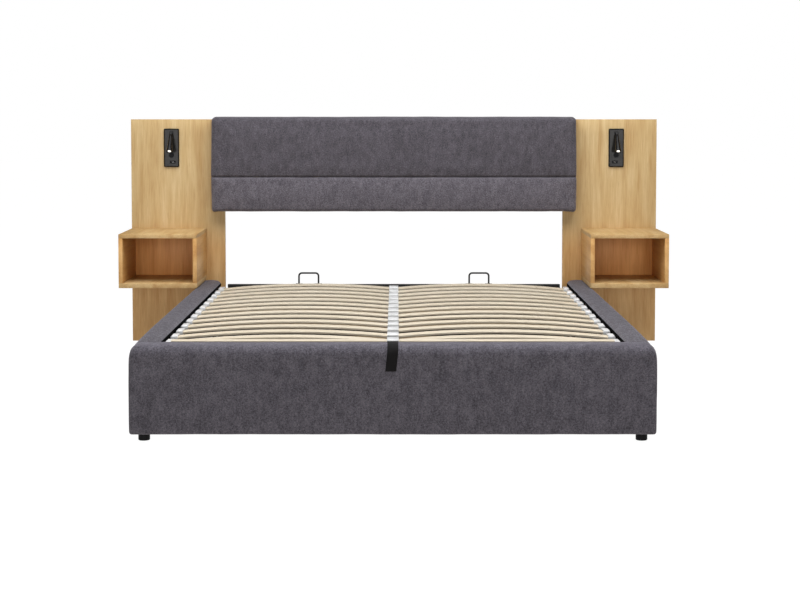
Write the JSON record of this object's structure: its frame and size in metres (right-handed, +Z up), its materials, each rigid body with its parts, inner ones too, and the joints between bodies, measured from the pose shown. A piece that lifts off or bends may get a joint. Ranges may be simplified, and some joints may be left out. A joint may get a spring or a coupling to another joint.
{
  "type": "storage bed with nightstands",
  "caption": "Upholstered lift-up storage bed with a bowed-slat platform, oak wall panels carrying open box nightstands and tilting reading lights, and a two-pad headboard.",
  "frame": {"origin": "on the floor, at the middle of the whole outline in plan", "axes": "+X to the right of someone standing at the foot and looking at the headboard, +Y from the foot to the headboard, +Z up"},
  "size_m": [2.426, 2.15, 1.098],
  "materials": {
    "upholstery": "matt woven upholstery cloth",
    "oak": "oak veneer, satin",
    "frame_wood": "sawn softwood and plywood",
    "floor_board": "dark faced board",
    "birch": "sanded birch plywood",
    "black_steel": "black powder coat",
    "plated_steel": "zinc plated",
    "lamp_plate": "dark grey satin paint",
    "lamp_metal": "black satin paint",
    "lamp_lens": "white diffuser",
    "port_plastic": "gloss black",
    "box_plastic": "matt black",
    "holder_plastic": "matt white",
    "foot_plastic": "matt black",
    "strap_webbing": "woven black webbing"
  },
  "bodies": {
    "bed_frame": {"foot_rail_core": "frame_wood", "foot_rail_cover": "upholstery", "side_rail_core_left": "frame_wood", "side_rail_core_right": "frame_wood", "side_rail_cover_left": "upholstery", "side_rail_cover_right": "upholstery", "head_end_board": "frame_wood", "storage_floor": "floor_board", "floor_battens": "frame_wood", "corner_feet": "foot_plastic", "centre_legs": "foot_plastic", "corner_brackets": "plated_steel", "frame_bolts": "plated_steel", "platform_rests": "frame_wood", "lift_wall_plate_left": "plated_steel", "lift_wall_plate_right": "plated_steel", "wood_panel_left": "oak", "wood_panel_right": "oak", "rear_cross_rails": "frame_wood", "cross_rail_bolts": "plated_steel", "headboard_board": "frame_wood", "headboard_upper_pad": "upholstery", "headboard_lower_pad": "upholstery", "nightstand_left_top": "oak", "nightstand_left_bottom": "oak", "nightstand_left_outer_side": "oak", "nightstand_left_inner_side": "oak", "nightstand_left_back": "oak", "nightstand_right_top": "oak", "nightstand_right_bottom": "oak", "nightstand_right_outer_side": "oak", "nightstand_right_inner_side": "oak", "nightstand_right_back": "oak", "nightstand_screws": "plated_steel", "lamp_wall_plate_left": "lamp_plate", "lamp_wall_plate_right": "lamp_plate", "charging_ports": "port_plastic", "lamp_driver_boxes": "box_plastic"},
    "lamp_left_base": {"lamp_left_knuckle": "lamp_metal"},
    "lamp_left_shade": {"lamp_left_head": "lamp_metal", "lamp_left_lens": "lamp_lens"},
    "lamp_right_base": {"lamp_right_knuckle": "lamp_metal"},
    "lamp_right_shade": {"lamp_right_head": "lamp_metal", "lamp_right_lens": "lamp_lens"},
    "platform": {"platform_side_tubes": "black_steel", "platform_end_tubes": "black_steel", "platform_spine": "black_steel", "platform_cross_tubes": "black_steel", "slats_left": "birch", "slats_right": "birch", "slat_caps": "holder_plastic", "slat_centre_holders": "holder_plastic", "mattress_retainer_left": "black_steel", "mattress_retainer_right": "black_steel", "lift_strap": "strap_webbing", "lift_deck_plates": "black_steel"},
    "rear_links": {"rear_links": "black_steel"},
    "front_links": {"front_links": "black_steel"},
    "strut_cylinders": {"strut_cylinders": "black_steel"},
    "strut_rods": {"strut_rods": "plated_steel"}
  },
  "joints": [
    {"name": "rear_link_swing", "type": "hinge", "parent": "bed_frame", "child": "rear_links", "pos_m": [0, 0.628, 0.137], "axis": [1, 0, 0], "range_deg": [0, 60.21]},
    {"name": "platform_lift", "type": "hinge", "parent": "rear_links", "child": "platform", "pos_m": [0, 0.857, 0.266], "axis": [-1, 0, 0], "range_deg": [0, 98.2]},
    {"name": "front_link_swing", "type": "hinge", "parent": "bed_frame", "child": "front_links", "pos_m": [0, 0.515, 0.091], "axis": [1, 0, 0], "range_deg": [0, 53.13]},
    {"name": "strut_swing", "type": "hinge", "parent": "bed_frame", "child": "strut_cylinders", "pos_m": [0, 0.878, 0.08], "axis": [1, 0, 0], "range_deg": [-0.46, 0]},
    {"name": "strut_stroke", "type": "slide", "parent": "strut_cylinders", "child": "strut_rods", "axis": [0, -0.9691, 0.2467], "range_m": [0, 0.0805]},
    {"name": "lamp_left_swivel", "type": "hinge", "parent": "bed_frame", "child": "lamp_left_base", "pos_m": [-1.026, 1.03, 1.024], "axis": [0, 1, 0], "range_deg": [-90, 90]},
    {"name": "lamp_left_tilt", "type": "hinge", "parent": "lamp_left_base", "child": "lamp_left_shade", "pos_m": [-1.026, 1.018, 1.024], "axis": [-1, 0, 0], "range_deg": [-30, 55]},
    {"name": "lamp_right_swivel", "type": "hinge", "parent": "bed_frame", "child": "lamp_right_base", "pos_m": [1.026, 1.03, 1.024], "axis": [0, 1, 0], "range_deg": [-90, 90]},
    {"name": "lamp_right_tilt", "type": "hinge", "parent": "lamp_right_base", "child": "lamp_right_shade", "pos_m": [1.026, 1.018, 1.024], "axis": [-1, 0, 0], "range_deg": [-30, 55]}
  ],
  "couplings": [
    {"joint": "rear_link_swing", "follows": "platform_lift", "ratio": 0.61306},
    {"joint": "front_link_swing", "follows": "platform_lift", "ratio": 0.54095},
    {"joint": "strut_swing", "follows": "platform_lift", "ratio": -0.0045906},
    {"joint": "strut_stroke", "follows": "platform_lift", "m_per_rad": 0.046932}
  ]
}
